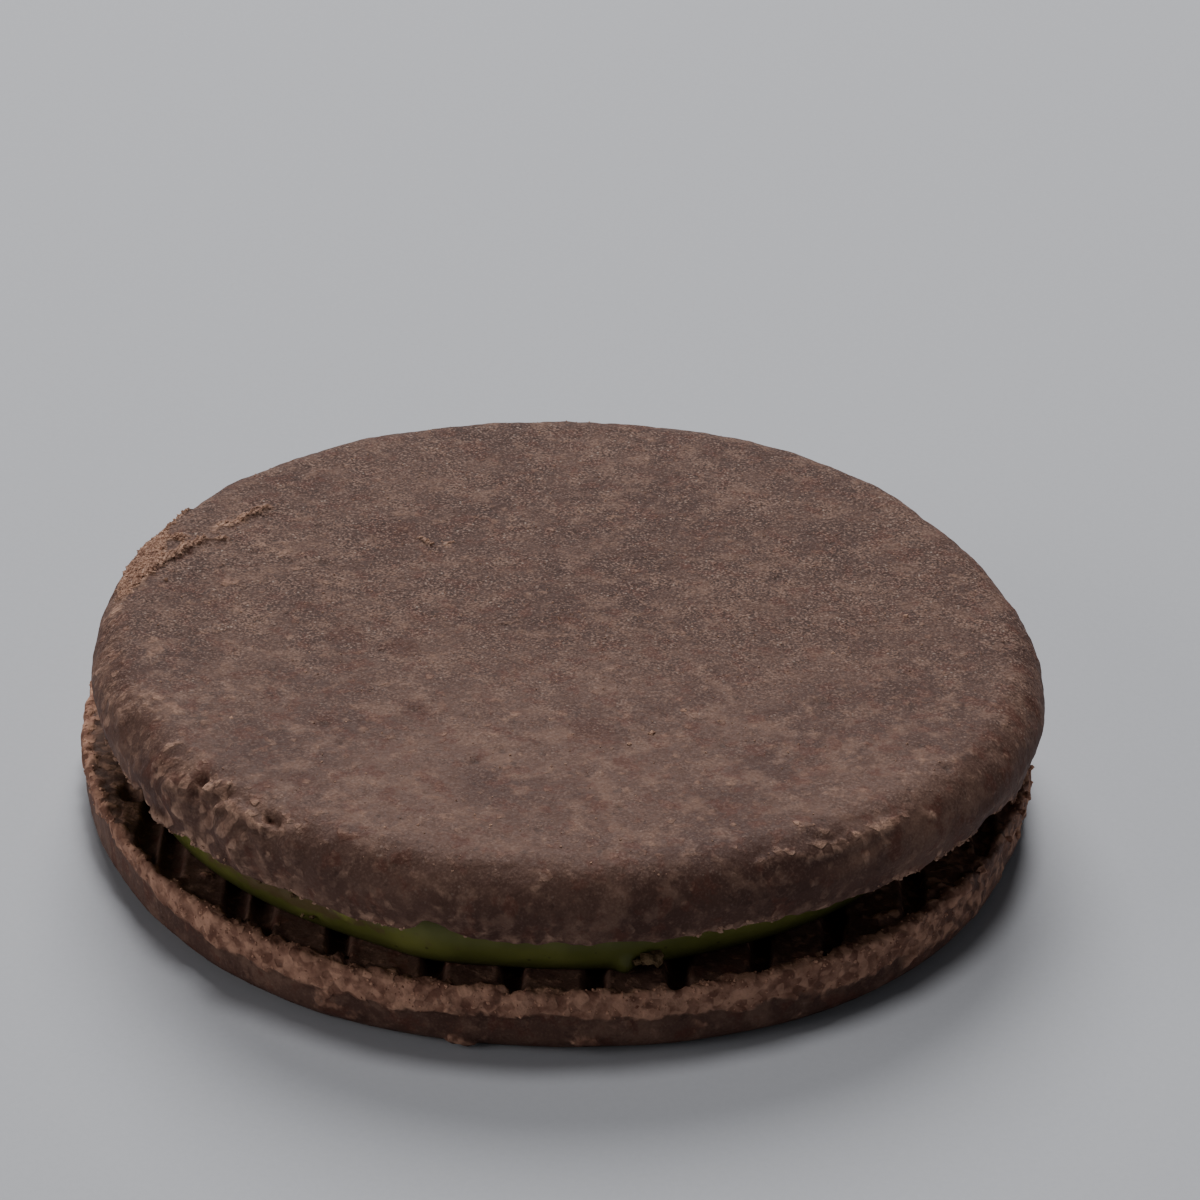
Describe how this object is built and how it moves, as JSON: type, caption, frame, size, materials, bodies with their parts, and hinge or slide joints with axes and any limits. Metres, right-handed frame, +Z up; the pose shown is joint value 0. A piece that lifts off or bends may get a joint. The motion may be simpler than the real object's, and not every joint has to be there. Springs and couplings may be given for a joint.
{
  "type": "chocolate sandwich cookie",
  "caption": "Round sandwich cookie: cocoa biscuits above and below a layer of green tea cream, lying flat.",
  "frame": {"origin": "middle of the lower biscuit's flat underside, on which the cookie rests", "axes": "+Z up through the three layers, -Y towards the side that shows most of the cream, +X to the right of that side"},
  "size_m": [0.0606, 0.0604, 0.0122],
  "materials": {
    "upper_biscuit": "baked cocoa biscuit, dry and matte with a fine grain",
    "cream_filling": "smooth green tea cream with a soft shine",
    "lower_biscuit": "baked cocoa biscuit, dry and matte with a crumbly edge"
  },
  "bodies": {
    "root": {"upper_biscuit": "upper_biscuit", "cream_filling": "cream_filling", "lower_biscuit": "lower_biscuit"}
  },
  "joints": []
}
